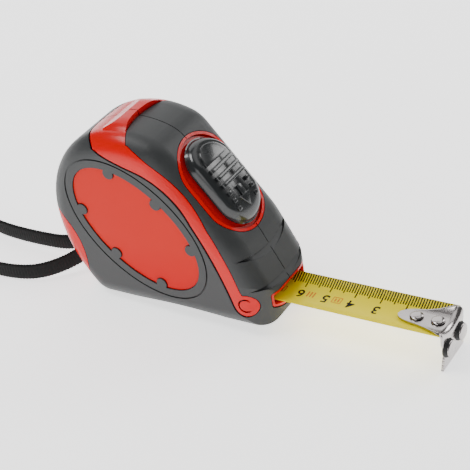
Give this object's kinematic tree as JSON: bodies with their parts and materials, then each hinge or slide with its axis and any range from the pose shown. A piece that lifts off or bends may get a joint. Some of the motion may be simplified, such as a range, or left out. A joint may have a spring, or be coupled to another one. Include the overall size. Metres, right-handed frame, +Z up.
{
  "type": "tape measure",
  "caption": "Rubber-coated pocket tape measure with thumb lock, drawn-out yellow blade, magnetic end hook and webbing wrist strap",
  "frame": {"origin": "on the flat base plane, straight below the reel's axle, midway between the case's two sides", "axes": "+X forward out of the mouth along the blade, +Y to the left side, +Z up"},
  "size_m": [0.2712, 0.0577, 0.0801],
  "materials": {
    "red_plastic": "glossy injection-moulded ABS, bright red",
    "rubber_grip": "satin dark grey overmoulded rubber with a fine matt texture",
    "label_red": "satin red inlaid label plate",
    "zinc_steel": "zinc-plated steel",
    "spool_plastic": "natural white moulded plastic",
    "spring_steel": "blued spring steel strip",
    "blade_yellow": "yellow lacquered steel blade with black graduations",
    "nickel_plate": "bright nickel-plated steel",
    "button_plastic": "glossy dark grey moulded plastic",
    "rubber_black": "matt black rubber",
    "strap_webbing": "ribbed black nylon webbing"
  },
  "bodies": {
    "case": {"right_shell": "red_plastic", "left_shell": "red_plastic", "right_grip": "rubber_grip", "left_grip": "rubber_grip", "right_label": "label_red", "left_label": "label_red", "case_screws": "zinc_steel", "reel_arbor": "zinc_steel", "tape_lead": "blade_yellow", "mouth_bumper": "rubber_black", "strap_pin": "zinc_steel", "wrist_strap": "strap_webbing"},
    "reel": {"reel_drum": "spool_plastic", "spring_cover": "spool_plastic", "power_spring": "spring_steel", "tape_coil": "blade_yellow"},
    "blade": {"tape_blade": "blade_yellow", "hook_rivets": "nickel_plate"},
    "hook": {"end_hook": "nickel_plate", "hook_magnets": "nickel_plate"},
    "lock": {"lock_button": "button_plastic", "lock_slider": "spool_plastic", "brake_pad": "rubber_black"}
  },
  "joints": [
    {"name": "blade_slide", "type": "slide", "parent": "case", "child": "blade", "axis": [1, 0, 0], "range_m": [-0.06, 0.01]},
    {"name": "reel_spin", "type": "hinge", "parent": "case", "child": "reel", "pos_m": [0, 0, 0.0345], "axis": [0, 1, 0], "range_deg": [-23.59, 141.48]},
    {"name": "hook_play", "type": "slide", "parent": "blade", "child": "hook", "axis": [1, 0, 0], "range_m": [0, 0.0011]},
    {"name": "lock_slide", "type": "slide", "parent": "case", "child": "lock", "axis": [0.6006, 0, -0.7995], "range_m": [0, 0.0045]}
  ],
  "couplings": [
    {"joint": "reel_spin", "follows": "blade_slide", "rad_per_m": -41.152}
  ]
}
